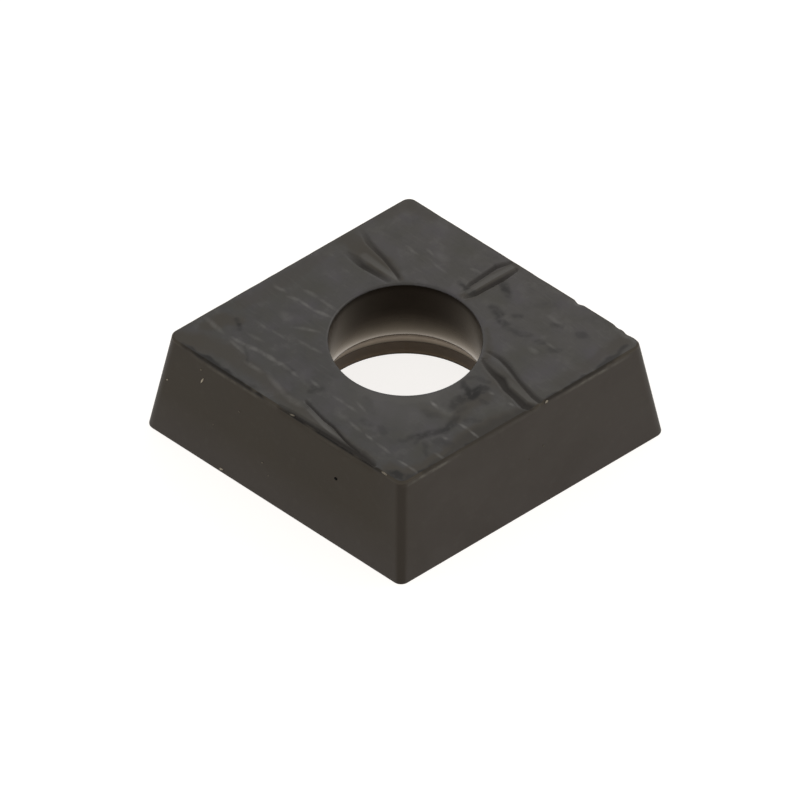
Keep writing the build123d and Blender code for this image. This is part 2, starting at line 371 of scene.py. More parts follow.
# Stains on the seat face and over its edge, a darker band along the edge and a painted glow in front of the
# screw hole, drawn as strokes too
seatStainsAndGlow = {
    # dried oil, nearly black
    "smears": [
        # round the right of the hole and on towards the front corner
        [(2.22, -2.22, 0.15, 0.6), (2.3, -2.53, 0.2, 0.8), (2.51, -2.84, 0.34, 1), (2.78, -2.57, 0.26, 0.8),
         (3.04, -2.46, 0.2, 0.6)],
        [(2.82, -2.31, 0.08, 0.6), (3.01, -2.67, 0.12, 0.6)],
        [(2.25, -1.96, 0.13, 0.3), (2.77, -1.95, 0.15, 0.35), (3.26, -2.2, 0.1, 0.4)],
        [(1.49, -3.38, 0.16, 0.5), (1.75, -3.58, 0.23, 0.7), (2.04, -3.16, 0.23, 0.7),
         (2.42, -2.99, 0.22, 0.8)],
        [(2.92, -3.19, 0.12, 0.5), (3.09, -3.29, 0.12, 0.4)],
        [(0.78, -3.75, 0.17, 0.4), (1.01, -3.9, 0.2, 0.5), (1.31, -4, 0.15, 0.35)],
        [(2.2, -3.57, 0.2, 0.35), (2.02, -3.93, 0.2, 0.5), (1.84, -4.35, 0.21, 0.6),
         (1.55, -4.72, 0.22, 0.7), (1.06, -4.83, 0.17, 0.55), (0.7, -5.07, 0.2, 0.75),
         (0.4, -5.11, 0.15, 0.5), (-0.09, -5.22, 0.1, 0.3)],
        [(2.32, -4.14, 0.15, 0.35), (2.81, -4.18, 0.13, 0.35)],
        # along the front right edge and at the front corner
        [(3.19, -4.84, 0.15, 0.5), (3.42, -4.78, 0.1, 0.4)],
        [(3.45, -4.6, 0.12, 0.4), (3.64, -4.52, 0.12, 0.4)],
        [(3.82, -4.21, 0.15, 0.5), (4.04, -4.18, 0.13, 0.4)],
        [(1.26, -5.29, 0.2, 0.3), (1.86, -5.44, 0.23, 0.4)],
        [(1.52, -5.39, 0.12, 0.4), (1.67, -5.49, 0.12, 0.4)],
        [(2.09, -5.74, 0.14, 0.5), (2.4, -5.53, 0.18, 0.8), (2.57, -5.32, 0.13, 0.7)],
        [(0.81, -5.41, 0.13, 0.4), (0.94, -6.02, 0.11, 0.4)],
        [(1.87, -5.9, 0.13, 0.5), (1.54, -6.32, 0.14, 0.5), (0.91, -6.74, 0.19, 0.8),
         (0.68, -6.95, 0.14, 0.7)],
        [(-0.57, -6.88, 0.15, 0.3), (-0.2, -7.02, 0.25, 0.8), (0.1, -7.17, 0.26, 0.7),
         (0.47, -7.09, 0.13, 0.5)],
        # left half
        [(-3.43, -2.78, 0.2, 0.45), (-3.13, -2.64, 0.2, 0.45)],
        [(-3.62, -3.38, 0.13, 0.35), (-3.51, -3.38, 0.13, 0.35)],
        [(-1.4, -3.13, 0.19, 0.25), (-1.2, -3.85, 0.19, 0.25)],
        [(-1.49, -4.27, 0.16, 0.35), (-1.26, -4.47, 0.16, 0.35)],
        [(-0.84, -4.67, 0.15, 0.35), (-0.69, -4.87, 0.15, 0.35)],
        [(0.51, -5.36, 0.12, 0.4), (0.62, -5, 0.14, 0.5)],
        [(-6.37, 0.99, 0.11, 0.5), (-6.31, 0.68, 0.13, 0.8), (-6.26, 0.37, 0.11, 0.5)],
        [(-6.03, -0.52, 0.08, 0.35), (-5.9, -1.3, 0.09, 0.4)],
        [(-4.5, -1.58, 0.14, 0.5), (-4.2, -1.81, 0.14, 0.5)],
        # right half
        [(3.52, 3.09, 0.14, 0.4), (3.72, 2.73, 0.18, 0.7), (3.83, 2.41, 0.16, 0.5)],
        [(3.24, 1.67, 0.19, 0.5), (3.55, 1.46, 0.2, 0.7), (3.44, 1.15, 0.14, 0.5)],
        [(3.55, 0.94, 0.2, 0.6), (3.78, 0.84, 0.18, 0.5)],
        [(4.04, 1.32, 0.13, 0.4), (4.3, 1.22, 0.13, 0.4)],
        [(3.63, 0.78, 0.12, 0.4), (4.39, 0.33, 0.12, 0.4)],
        [(5.01, 1.86, 0.23, 0.15), (5.46, 1.98, 0.23, 0.15)],
        [(5.55, 0.88, 0.15, 0.45), (5.81, 0.8, 0.18, 0.45)],
        [(6.49, 0.37, 0.16, 0.4), (6.76, 0.33, 0.18, 0.4)],
        [(4.24, 0.43, 0.15, 0.4), (4.62, 0.28, 0.15, 0.4)],
        [(4.92, -0.03, 0.15, 0.4), (5.22, -0.12, 0.15, 0.4)],
        [(5.45, -0.43, 0.18, 0.35), (5.72, -0.53, 0.18, 0.4)],
        [(2.02, 2.9, 0.16, 0.6), (2.44, 2.54, 0.16, 0.7)],
    ],
    # darker band along the edge, which also covers the top of the flank
    "darkEdgeBand": [
        [(-8.36, -0.46, 0.09, 0.4), (-8.05, -0.69, 0.12, 0.7), (-7.59, -1.05, 0.15, 0.9),
         (-6.83, -1.73, 0.15, 0.9), (-6.13, -2.4, 0.14, 0.9), (-5.29, -3.21, 0.13, 0.9),
         (-4.91, -3.51, 0.12, 0.8)],
        [(-4.68, -3.66, 0.11, 0.8), (-4.22, -4.07, 0.14, 1.1), (-3.84, -4.39, 0.16, 1.2),
         (-3.38, -4.77, 0.16, 1.2), (-2.7, -5.33, 0.16, 1.2), (-1.94, -5.98, 0.15, 1.1),
         (-1.56, -6.28, 0.14, 1), (-1.1, -6.66, 0.14, 0.9), (-0.65, -7.03, 0.09, 0.5)],
        [(5.34, -3.09, 0.12, 0.7), (6.08, -2.45, 0.09, 0.75), (7.19, -1.44, 0.11, 0.7),
         (7.71, -0.91, 0.13, 0.7), (8.3, -0.21, 0.11, 0.6)],
        [(0.84, -6.8, 0.11, 0.5), (1.43, -6.22, 0.14, 0.4), (1.98, -5.74, 0.14, 0.35)],
        [(1.97, -5.59, 0.28, 0.3), (2.89, -4.8, 0.35, 0.45), (3.82, -4.16, 0.33, 0.4),
         (4.74, -3.51, 0.19, 0.5)],
    ],
    # thin yellow-brown film of old coolant, mostly in and beside the marks
    "films": [
        [(-8.67, -0.05, 0.41, 1), (-7.84, -0.3, 0.56, 1), (-6.74, -0.74, 0.47, 0.8),
         (-5.31, -2.17, 0.31, 0.6), (-3.85, -3.8, 0.27, 0.6), (-1.11, -6.22, 0.18, 0.5)],
        [(-7.52, 0.44, 0.29, 0.8), (-6.9, 0.93, 0.31, 0.9), (-6.33, 0.83, 0.31, 0.8)],
        [(-0.5, -6.72, 0.34, 0.9), (0.02, -6.97, 0.36, 0.9), (0.84, -6.59, 0.28, 0.9),
         (1.61, -5.85, 0.27, 0.9), (2.52, -4.91, 0.42, 1), (3.63, -4.16, 0.43, 1),
         (4.52, -3.62, 0.24, 0.8)],
        [(1.99, -4.09, 0.29, 0.8), (2.35, -3.36, 0.4, 0.9), (3.01, -2.93, 0.34, 0.6)],
        [(0.78, -3.6, 0.25, 0.5), (1.38, -3.9, 0.2, 0.4)],
        [(2.96, 0.51, 0.15, 0.6), (3.09, -0.85, 0.23, 0.8)],
        [(-2.33, 5.23, 0.37, 0.7), (-1.64, 4.62, 0.5, 1), (-0.86, 3.79, 0.45, 1),
         (-0.32, 3.17, 0.27, 0.8)],
        [(-0.99, 6.53, 0.35, 0.5), (-0.02, 7.03, 0.32, 0.5), (0.82, 6.47, 0.34, 0.4)],
        [(2.18, 2.27, 0.28, 0.8), (3.15, 3.08, 0.37, 0.8), (4.04, 3.94, 0.32, 0.7)],
        [(2.91, -1.06, 0.25, 0.5), (3.6, -2.09, 0.44, 0.7), (4.36, -2.8, 0.45, 0.6),
         (4.89, -3.41, 0.35, 0.8)],
        [(5.85, -2.14, 0.32, 0.3), (6.77, -1.29, 0.27, 0.4), (8.15, 0.1, 0.36, 0.7)],
        [(5.86, -3.08, 0.14, 0.3), (7.34, -1.59, 0.14, 0.3)],
        [(-2.92, 4.59, 0.23, 0.3), (-4.4, 3.19, 0.33, 0.4), (-5.57, 2.11, 0.38, 0.4),
         (-6.24, 1.68, 0.29, 0.5)],
    ],
    # painted glow: paler seat face in front of the screw hole, standing in for the bright hole's light
    # spreading over its rim
    "paintedRimGlow": [
        [(-1.91, -2.44, 0.25, 0.4), (-1.06, -2.91, 0.4, 0.6), (0, -3.1, 0.45, 0.6),
         (0.96, -2.95, 0.4, 0.6), (1.55, -2.68, 0.25, 0.4)],
        [(-1.9, -2.5, 0.9, 0.25), (-1.06, -3.0, 1.5, 0.32), (0, -3.2, 1.7, 0.35), (0.96, -3.0, 1.4, 0.32)],
    ],
    "raggedMm": 0.12,  # how far an outline wanders, and how often
    "raggedPerMm": 3.0,
    "reachDown": 0.4,  # stains end this far below the seat face
}


def stainAndGlowFields(places):
    # Stains, the darker edge band and the painted glow of the seat face at every point, with ragged outlines
    near = places[:, 2] > insertBody["thickness"] - seatStainsAndGlow["reachDown"]
    shaken = places[near, :2].copy()
    for index, place in enumerate(places[near]):
        shake = noise.noise_vector(Vector(place) * seatStainsAndGlow["raggedPerMm"])
        shaken[index] += np.array(shake[:2]) * seatStainsAndGlow["raggedMm"]
    fields = {}
    for name in ("smears", "darkEdgeBand", "films", "paintedRimGlow"):
        fields[name] = np.zeros(len(places))
        fields[name][near] = strongest(shaken, seatStainsAndGlow[name])
    return fields


# Small chips and rubbed places on the seat face's edge
edgeWear = {
    "waviness": 0.012,
    "wavesPerMm": 1.6,
    # side, way along it, reach and depth
    "nicks": [
        (50, -3.65, 0.26, 0.07),
        (50, -5.62, 0.3, 0.05),
        (50, -6.1, 0.36, 0.09),
        (50, -6.5, 0.3, 0.06),
        (310, 2.02, 0.16, 0.04),
        (230, -2.6, 0.3, 0.04),
    ],
}


def wearEdge(places, regions):
    # Chips and rubs the seat face's edge, inwards and down
    inward = -places / np.linalg.norm(places[:, :2], axis=1)[:, None]
    inward[:, 2] = -1
    inward /= np.linalg.norm(inward, axis=1)[:, None]
    depth = np.zeros(len(places))
    nearEdge = np.isin(regions, ("edge", "seat", "flank"))
    for side, along, reach, most in edgeWear["nicks"]:
        out, way = sideFrame(side)
        centre = np.append(seatReach * out + along * way, insertBody["thickness"])
        gap = np.linalg.norm(places - centre, axis=1) / reach
        depth += most * np.clip(1 - gap**2, 0, 1) ** 2 * nearEdge
    waves = np.array([noise.noise(Vector(place) * edgeWear["wavesPerMm"]) for place in places])
    places += inward * (depth + edgeWear["waviness"] * np.clip(waves, 0, 1) * (regions == "edge"))[:, None]


# Where the coating's tones, and the painted light and shade, change over the body: heights above the rake
# face, unless a note says otherwise
toneZones = {
    "noseShadeTurn": (8, 24),  # degrees round a corner over which its painted shade sets in
    "darkEdgeBand": (4.6, 4.7),  # the darker edge band is kept to the very top of the flanks
    "polishFades": (2.2, 3.4),  # the bell is smooth, and the bore above it is not
    "cornerFoot": 0.5,  # the hollow corner gets paler from here
    "cornerRise": 0.85,
    "cornerFades": (1.3, 1.5),  # and darkens again where the bell begins
    "pocketLightFades": (-0.1, 0.35),  # painted light: the pocket's wall is palest at its foot, where the white floor lights it
    "pocketLightFaded": 0.65,
}


def toneFields(places, regions, trough, ridge):
    # How much of each tone every point of the body gets, from 0 to about 1
    zones, height = toneZones, places[:, 2]
    onSeat = (regions == "seat").astype(float)
    turn = np.degrees(np.arctan2(columnDirections[:, 1], columnDirections[:, 0]))
    fromSide = np.min([np.abs((turn - side + 180) % 360 - 180) for side in sideAngles], axis=0)
    stainsAndGlow = stainAndGlowFields(places)
    cornerShare = np.clip((height - zones["cornerFoot"]) / zones["cornerRise"], 0, 1)
    return {
        # troughs: painted shade over their brown dirt
        "trough": np.clip(trough, 0, seatMarks["deepest"]) * onSeat,
        # pale rubbed ridges, and the painted glow in front of the screw hole
        "paleWearAndHighlight": np.maximum(ridge, stainsAndGlow["paintedRimGlow"]) * onSeat,
        "smear": stainsAndGlow["smears"] * onSeat,
        "film": stainsAndGlow["films"] * onSeat,
        "darkEdgeBand": stainsAndGlow["darkEdgeBand"] * softStep(*zones["darkEdgeBand"], height),
        # painted shade round the noses
        "noseShade": np.tile(softStep(*zones["noseShadeTurn"], fromSide), len(places) // len(fromSide)),
        "roundedEdge": (regions == "edge").astype(float),
        "polished": np.isin(regions, ("bore", "bell")) * (1 - softStep(*zones["polishFades"], height)),
        "corner": (regions == "bell") * cornerShare * (1 - softStep(*zones["cornerFades"], height)),
        # painted light on the pocket's wall, palest at its foot
        "pocket": (regions == "pocket")
        * (1 - zones["pocketLightFaded"] * softStep(*zones["pocketLightFades"], height)),
    }


def buildInsert():
    rings, ringRegions = makeRings()
    ringCount, columnCount = rings.shape[:2]
    places = rings.reshape(-1, 3).copy()
    regions = np.repeat(np.array(ringRegions), columnCount)
    trough, ridge = seatFields(places[:, :2])
    pressMarks(places, trough, ridge, regions)
    wearEdge(places, regions)

    faces = []
    for ring in range(ringCount):
        here, following = ring * columnCount, (ring + 1) % ringCount * columnCount
        for column in range(columnCount):
            beside = (column + 1) % columnCount
            faces.append((here + column, following + column, following + beside, here + beside))
    mesh = bpy.data.meshes.new("insertBody")
    mesh.from_pydata((places * mm).tolist(), [], faces)
    mesh.update()

    for name, values in toneFields(places, regions, trough, ridge).items():
        attribute = mesh.attributes.new(name, "FLOAT", "POINT")
        attribute.data.foreach_set("value", values.astype(np.float32))
    # materials in the order in which they are added below: seat face, flanks, hole
    coats = {
        "seat": 0, "rim": 0,
        "edge": 1, "flank": 1, "hone": 1, "rake": 1, "pocket": 1,
        "bell": 2, "bore": 2,
    }
    faceCoats = np.repeat([coats[region] for region in np.roll(ringRegions, -1)], columnCount)
    mesh.polygons.foreach_set("material_index", faceCoats.astype(np.int32))
    mesh.shade_smooth()
    mesh.set_sharp_from_angle(angle=math.radians(meshGrid["sharpFrom"]))
    piece = bpy.data.objects.new("insertBody", mesh)
    bpy.context.scene.collection.objects.link(piece)
    return piece


insertPiece = buildInsert()
print("insert built,", len(insertPiece.data.vertices), "points")


def hexColour(text):
    # sRGB hex to linear light
    values = [int(text[i : i + 2], 16) / 255 for i in (1, 3, 5)]
    return [v / 12.92 if v <= 0.04045 else ((v + 0.055) / 1.055) ** 2.4 for v in values] + [1.0]


def addNode(tree, kind, inputs=None, out=0, **settings):
    # Adds a node, sets it up, wires whatever sockets it is given, and hands back one of its outputs
    node = tree.nodes.new("ShaderNode" + kind)
    for name, value in settings.items():
        setattr(node, name, value)
    for socket, value in (inputs or {}).items():
        if isinstance(value, bpy.types.NodeSocket):
            tree.links.new(value, node.inputs[socket])
        else:
            node.inputs[socket].default_value = value
    return node.outputs[out] if len(node.outputs) else None


# What all finishes share. The powder's own grain is a few thousandths of a millimetre, so every
# grainMm below is drawn coarser than it is, for the render to show it at all.
coatedCarbide = {
    "ior": 1.5,
    "grainStrength": 0.12,
    "grainHeightMm": 0.01,
}


def startMaterial(name):
    # Empty material, with the place on the piece in millimetres
    material = bpy.data.materials.new(name)
    material.use_nodes = True
    tree = material.node_tree
    tree.nodes.clear()
    place = addNode(tree, "TexCoord", out="Object")
    return material, tree, addNode(tree, "VectorMath", {0: place, 3: 1 / mm}, operation="SCALE")


def addSkin(tree, place, grainMm, colour, roughness, **constants):
    # Surface with the fine grain of powder
    look = coatedCarbide
    grain = addNode(tree, "TexNoise", {"Vector": place, "Scale": 1 / grainMm, "Detail": 2.0})
    bumps = {"Height": grain, "Strength": look["grainStrength"], "Distance": look["grainHeightMm"] * mm}
    skin = {
        "Base Color": colour,
        "Roughness": roughness,
        "Normal": addNode(tree, "Bump", bumps),
        "IOR": look["ior"],
        **constants,
    }
    addNode(tree, "OutputMaterial", {"Surface": addNode(tree, "BsdfPrincipled", skin)})


def patternTones(tree, look, patterns):
    # Shares and hex colours of the tones that follow a pattern
    return [
        (addNode(tree, "MapRange", {0: patterns[name], 1: sets, 2: full, 3: 0.0, 4: share}), look[tone])
        for name, sets, full, share, tone in look["tones"]
    ]


def fieldTones(tree, look, fields):
    # The same for tones that follow what the mesh says at each point
    return [(addNode(tree, "Attribute", out="Fac", attribute_name=name), look[tone]) for name, tone in fields]


def layTones(tree, colour, tones):
    for share, tone in tones:
        colour = addNode(tree, "Mix", {0: share, 6: colour, 7: hexColour(tone)}, out=2, data_type="RGBA")
    return colour


def addSpots(tree, place, spots):
    # Long soft spots seen from above, the strongest one counting where they meet
    fullTo = 0.25  # share of a spot's half width that has its full strength
    total = 0.0
    for x, y, halfLength, halfWidth, turn, strength in spots:
        lie = {
            "Vector": place,
            "Location": (x, y, 0),
            "Rotation": (0, 0, math.radians(turn)),
            "Scale": (halfLength, halfWidth, 1),
        }
        local = addNode(tree, "Mapping", lie, vector_type="TEXTURE")
        away = addNode(tree, "VectorMath", {0: local}, operation="LENGTH", out="Value")
        spot = addNode(tree, "MapRange", {0: away, 1: 1.0, 2: fullTo, 3: 0.0, 4: strength})
        total = addNode(tree, "Math", {0: total, 1: spot}, operation="MAXIMUM")
    return total


# Cemented carbide under a thin dark coating, its seat face lapped: a near-black satin skin
# with fine slanting lap lines, pale scratches, and brown dried coolant in the pressed marks
lappedSeat = {
    "colour": "#2d2a27",
    "paintedLight": "#37332f",  # painted reflection: the seat face lighter towards the back right, standing in for the soft box behind on the right
    "paintedLightFrom": -5.0,
    "paintedLightTo": 7.0,
    "filmColour": "#271f0f",
    # painted shade in the troughs, over their brown dirt
    "troughShadeAndDirtColour": "#18120a",
    # pale rubbed ridges, and the painted glow in front of the screw hole
    "ridgeAndGlowColour": "#44413c",
    "scratchColour": "#5f5c58",
    "smearColour": "#0c0805",
    "oliveColour": "#2b281b",
    "lilacColour": "#383337",
    "roughness": 0.4,
    "troughRoughness": 0.8,
    "smearDulls": 0.9,
    "lapLineMm": 0.12,  # coarser than real lap lines, which would be too fine to show
    "lapLineStretch": 8,
    "lapLineTurn": -43.0,
    "cloudMm": 1.5,
    "mottleMm": 0.8,
    "grainMm": 0.06,
    "raggedMm": 0.12,  # how far outlines wander, and how often
    "raggedPerMm": 3.0,
    "patchesPerMm": 3.5,
    "patchy": (0.36, 0.52, 0.62, 1.15),  # pattern from and to, share of smears and scratches from and to
    # pattern, where in it a tone sets in and is full, its share there, the tone
    "tones": [
        ("mottle", 0.52, 0.66, 0.25, "smearColour"),
        ("mottle", 0.46, 0.36, 0.14, "scratchColour"),
        ("lapLines", 0.58, 0.85, 0.2, "scratchColour"),
        ("lapLines", 0.42, 0.2, 0.28, "smearColour"),
        ("cloud", 0.5, 0.68, 0.6, "oliveColour"),
        ("cloud", 0.48, 0.32, 0.6, "lilacColour"),
    ],
    # x, y, half length, half width in mm, turn in degrees, strength
    "scratches": [
        (1.16, -3.4, 0.33, 0.09, -50, 0.8), (1.6, -3.68, 0.56, 0.27, -42, 0.23),
        (2.28, -4.51, 0.3, 0.09, -35, 0.57), (2.63, -4.84, 0.41, 0.08, -49, 0.5),
        (0.05, -6.45, 0.35, 0.07, -38, 0.47), (0.39, -6.74, 0.31, 0.08, -43, 0.57),
        (1.4, -6.05, 0.34, 0.1, -39, 0.32), (1.59, -5.13, 0.17, 0.09, -34, 0.45),
        (3.27, -2.75, 0.18, 0.09, -40, 0.4), (4.03, -3.31, 0.18, 0.09, -40, 0.4),
        (-7.21, 0.58, 0.73, 0.15, -49, 0.32), (-6.23, -0.26, 0.5, 0.11, -37, 0.38),
        (-5.65, -0.64, 0.53, 0.14, -30, 0.48), (-5.08, -1.05, 0.53, 0.14, -40, 0.53),
        (-4.54, -1.5, 0.53, 0.13, -40, 0.45), (-4.16, -1.86, 0.29, 0.11, -48, 0.35),
        (-6.33, -0.5, 0.6, 0.1, -51, 0.28), (-5.63, -1.6, 0.59, 0.14, -40, 0.3),
        (-4.76, -2.52, 0.88, 0.17, -57, 0.28), (-4.15, -3.29, 0.6, 0.19, -41, 0.3),
        (-4.22, 2.03, 0.39, 0.11, -24, 0.35), (-3.76, 1.7, 0.48, 0.11, -45, 0.45),
        (-3.18, 1.29, 0.56, 0.12, -27, 0.45), (-3.6, 2.31, 0.42, 0.14, -36, 0.3),
        (-2.93, 1.72, 0.59, 0.1, -43, 0.32), (-4.76, 2.52, 0.36, 0.11, -34, 0.32),
        (-3.69, 0.42, 0.61, 0.12, -13, 0.35), (-3.57, -0.49, 0.68, 0.11, -35, 0.3),
        (-4.53, 1.11, 0.39, 0.27, -48, 0.2), (-5.38, 0.57, 0.5, 0.09, -41, 0.2),
        (-4.77, 0.14, 0.56, 0.09, -40, 0.25), (-5.63, -0.04, 0.49, 0.11, -37, 0.2),
        (-2.41, -3.22, 0.43, 0.1, -38, 0.3), (-1.99, -3.6, 0.42, 0.1, -47, 0.3),
        (-1.8, -4.58, 0.48, 0.1, -50, 0.3), (-1.24, -5.14, 0.29, 0.08, -53, 0.45),
        (-0.71, -5.67, 0.47, 0.1, -45, 0.38), (-3.34, -2.39, 0.32, 0.1, -49, 0.35),
        (-1.58, -3.57, 0.41, 0.09, -56, 0.3), (-2.31, -4.05, 0.41, 0.24, -40, 0.2),
        (0.14, 4.68, 0.48, 0.1, -45, 0.28), (1.28, 4.36, 0.47, 0.25, -39, 0.2),
        (1.19, 3.78, 0.52, 0.1, -46, 0.25), (5.66, 1.04, 0.67, 0.14, -42, 0.25),
        (4.81, -0.5, 0.31, 0.17, -42, 0.3), (5.45, -0.22, 0.34, 0.1, -45, 0.32),
        (0.88, 4.54, 0.35, 0.1, -53, 0.3), (2.57, 3.65, 0.34, 0.11, -28, 0.3),
    ],
}


def lappedSeatMaterial():
    look = lappedSeat
    material, tree, place = startMaterial("lappedSeat")
    flat = addNode(tree, "VectorMath", {0: place, 1: (1, 1, 0)}, operation="MULTIPLY")

    # outlines wander: half as far for scratches and lap lines as for mottle and clouds
    wander = {"Vector": place, "Scale": look["raggedPerMm"], "Detail": 5.0, "Roughness": 0.65}
    shake = addNode(tree, "TexNoise", wander, out="Color")
    shake = addNode(tree, "VectorMath", {0: shake, 1: (-0.5, -0.5, -0.5)}, operation="ADD")
    reach = (look["raggedMm"], look["raggedMm"], 0)
    shake = addNode(tree, "VectorMath", {0: shake, 1: reach}, operation="MULTIPLY")
    halfRagged = addNode(tree, "VectorMath", {0: flat, 1: shake}, operation="ADD")
    ragged = addNode(tree, "VectorMath", {0: halfRagged, 1: shake}, operation="ADD")

    lie = {
        "Vector": halfRagged,
        "Rotation": (0, 0, math.radians(look["lapLineTurn"])),
        "Scale": (look["lapLineStretch"], 1, 1),
    }
    streak = addNode(tree, "Mapping", lie, vector_type="TEXTURE")
    lines = {"Vector": streak, "Scale": 1 / look["lapLineMm"], "Detail": 3.0}
    mottle = {"Vector": ragged, "Scale": 1 / look["mottleMm"], "Detail": 5.0, "Roughness": 0.62}
    patterns = {
        "lapLines": addNode(tree, "TexNoise", lines),
        "mottle": addNode(tree, "TexNoise", mottle),
        "cloud": addNode(tree, "TexNoise", {"Vector": ragged, "Scale": 1 / look["cloudMm"], "Detail": 3.0}),
    }
    patchy = addNode(tree, "TexNoise", {"Vector": ragged, "Scale": look["patchesPerMm"], "Detail": 2.0})
    sets, full, least, most = look["patchy"]
    patchy = addNode(tree, "MapRange", {0: patchy, 1: sets, 2: full, 3: least, 4: most})

    smear = addNode(tree, "Attribute", out="Fac", attribute_name="smear")
    smear = addNode(tree, "Math", {0: smear, 1: patchy}, operation="MULTIPLY")
    # darker band along the edge, laid in the smears' colour
    darkEdge = addNode(tree, "Attribute", out="Fac", attribute_name="darkEdgeBand")
    smear = addNode(tree, "Math", {0: smear, 1: darkEdge}, operation="MAXIMUM")
    scratch = addSpots(tree, halfRagged, look["scratches"])
    scratch = addNode(tree, "Math", {0: scratch, 1: patchy}, operation="MULTIPLY")
    # painted shade in the troughs, laid over their brown dirt
    trough = addNode(tree, "Attribute", out="Fac", attribute_name="trough")

    # painted reflection: the seat face gets lighter towards the back right, standing in for the soft box
    # there
    across = addNode(tree, "VectorMath", {0: place, 1: (1, 1, 0)}, operation="DOT_PRODUCT", out="Value")
    paintedLight = addNode(tree, "MapRange", {0: across, 1: look["paintedLightFrom"], 2: look["paintedLightTo"]})
    tones = [(paintedLight, look["paintedLight"]), *patternTones(tree, look, patterns)]
    tones += fieldTones(tree, look, [("film", "filmColour")])
    tones += [(smear, look["smearColour"])]
    # pale rubbed ridges, and the painted glow in front of the screw hole
    tones += fieldTones(tree, look, [("paleWearAndHighlight", "ridgeAndGlowColour")])
    tones += [(scratch, look["scratchColour"]), (trough, look["troughShadeAndDirtColour"])]
    colour = layTones(tree, hexColour(look["colour"]), tones)

    dull = addNode(tree, "Math", {0: smear, 1: look["smearDulls"]}, operation="MULTIPLY")
    dull = addNode(tree, "Math", {0: trough, 1: dull}, operation="MAXIMUM")
    roughness = addNode(tree, "MapRange", {0: dull, 3: look["roughness"], 4: look["troughRoughness"]})
    addSkin(tree, place, look["grainMm"], colour, roughness)
    return material


# The same coated carbide as pressed and sintered: duller and browner than the lapped face, with painted shade
# darker still round the noses, painted light on the pocket's wall and a painted highlight under the seat
# face's edge
sinteredFlank = {
    "left": "#2d261b",
    "right": "#36302a",
    "foot": "#38322d",
    # painted shade round the noses, also used for darker mottle
    "noseShade": "#2a231b",
    # painted light on the pocket's wall
    "pocket": "#9a8266",
    # pale specks, and the painted highlight under the seat face's edge
    "paleWearAndHighlight": "#5b574f",
    "edge": "#3c362d",
    # darker band along the edge and over the top of the flank
    "darkEdge": "#110c07",
    "roughness": 0.5,
    "specular": 0.2,
    "sideBlend": 1.0,  # the left flank's tone turns into the right one's this far round the middle
    "mottleMm": 2.2,
    "specksPerMm": 3.0,
    "grainMm": 0.08,
    # pattern, where in it a tone sets in and is full, its share there, the tone
    "tones": [
        ("height", 2.2, 0.4, 0.8, "foot"),
        ("mottle", 0.45, 0.75, 0.5, "noseShade"),
        ("specks", 0.55, 0.8, 0.06, "paleWearAndHighlight"),
    ],
    # painted highlight: pale line under the seat face's edge, standing in for light caught by the edge's
    # rounding: its heights, how patchy it is, and the stretches of edge that show it as x, y, half length,
    # half width, turn, strength
    "edgeHighlightHeights": (4.46, 4.54, 4.6, 4.67),
    "edgeHighlightPatchy": (0.4, 0.6, 0.3, 1.0),
    "edgeHighlightStretches": [
        (6.95, -1.55, 2.2, 0.4, 40, 0.8), (1.1, -6.65, 1.5, 0.4, 40, 0.8),
        (4.2, -3.95, 1.6, 0.4, 40, 0.25), (-6.4, -2.15, 2.4, 0.4, -40, 0.35),
        (-2.6, -5.35, 1.6, 0.4, -40, 0.2),
    ],
}


def sinteredFlankMaterial():
    look = sinteredFlank
    material, tree, place = startMaterial("sinteredFlank")
    flat = addNode(tree, "VectorMath", {0: place, 1: (1, 1, 0)}, operation="MULTIPLY")
    leftToRight = addNode(tree, "VectorMath", {0: place, 1: (1, 0, 0)}, operation="DOT_PRODUCT", out="Value")
    rightSide = addNode(tree, "MapRange", {0: leftToRight, 1: -look["sideBlend"], 2: look["sideBlend"]})
    height = addNode(tree, "VectorMath", {0: place, 1: (0, 0, 1)}, operation="DOT_PRODUCT", out="Value")
    specks = addNode(tree, "TexNoise", {"Vector": place, "Scale": look["specksPerMm"], "Detail": 4.0})
    patterns = {
        "height": height,
        "mottle": addNode(tree, "TexNoise", {"Vector": place, "Scale": 1 / look["mottleMm"], "Detail": 4.0}),
        "specks": specks,
    }

    # painted highlight under the seat face's edge
    low, fullFrom, fullTo, high = look["edgeHighlightHeights"]
    sets, full, least, most = look["edgeHighlightPatchy"]
    edgeHighlight = addNode(tree, "MapRange", {0: specks, 1: sets, 2: full, 3: least, 4: most})
    for share in (
        addNode(tree, "MapRange", {0: height, 1: low, 2: fullFrom}),
        addNode(tree, "MapRange", {0: height, 1: high, 2: fullTo}),
        addSpots(tree, flat, look["edgeHighlightStretches"]),
    ):
        edgeHighlight = addNode(tree, "Math", {0: edgeHighlight, 1: share}, operation="MULTIPLY")

    tones = [(rightSide, look["right"]), *patternTones(tree, look, patterns)]
    # painted shade round the noses, and painted light on the pocket's wall, palest at its foot
    tones += fieldTones(tree, look, [("noseShade", "noseShade"), ("pocket", "pocket")])
    tones += [(edgeHighlight, look["paleWearAndHighlight"])]
    tones += fieldTones(tree, look, [("roundedEdge", "edge"), ("darkEdgeBand", "darkEdge")])
    colour = layTones(tree, hexColour(look["left"]), tones)
    sheen = {"Specular IOR Level": look["specular"]}
    addSkin(tree, place, look["grainMm"], colour, look["roughness"], **sheen)
    return material


# The screw hole's wall under the same coating: smooth, so it is black where it is looked at squarely
# and bright where it is skimmed; the bell is polished where the screw's head bears on it
screwHoleWall = {
    "colour": "#1a1510",
    "bellColour": "#423c34",
    "cornerColour": "#877b6e",
    "edgeTint": "#fff9f1",
    "roughness": 0.36,
    "bellRoughness": 0.17,
    "cornerRoughness": 0.42,
    "cloudsPerMm": 1.2,
    "clouds": (0.7, 1.3),  # darkest and palest they make the wall
    "grainMm": 0.08,
}


